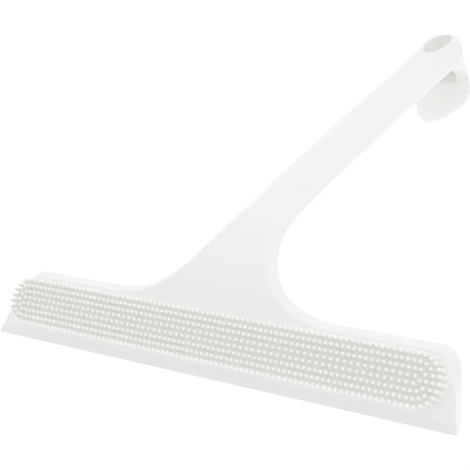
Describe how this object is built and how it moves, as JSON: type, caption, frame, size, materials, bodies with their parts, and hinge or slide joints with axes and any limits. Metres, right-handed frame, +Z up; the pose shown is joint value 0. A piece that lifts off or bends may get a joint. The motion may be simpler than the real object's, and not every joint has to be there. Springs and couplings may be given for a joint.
{
  "type": "window cleaning squeegee",
  "caption": "Flat bent-handle window squeegee with a long thin lip blade, a pad of soft scrubbing nubs on the front of its head and a hook with a hanging hole at the end of the handle.",
  "frame": {"origin": "Middle of the overall bounding box in X and Y, on the flat surface that the squeegee lies on.", "axes": "X runs along the blade. Y runs from the blade towards the hook end of the handle. Z points up, and the squeegee lies on its back with the nubs facing up and towards the blade side."},
  "size_m": [0.26, 0.228, 0.0373],
  "materials": {
    "white_moulding": "satin",
    "soft_lip": "satin",
    "soft_nubs": "matte"
  },
  "bodies": {
    "root": {"handle_frame": "white_moulding", "squeegee_blade": "soft_lip", "scrub_pad": "soft_nubs"}
  },
  "joints": []
}
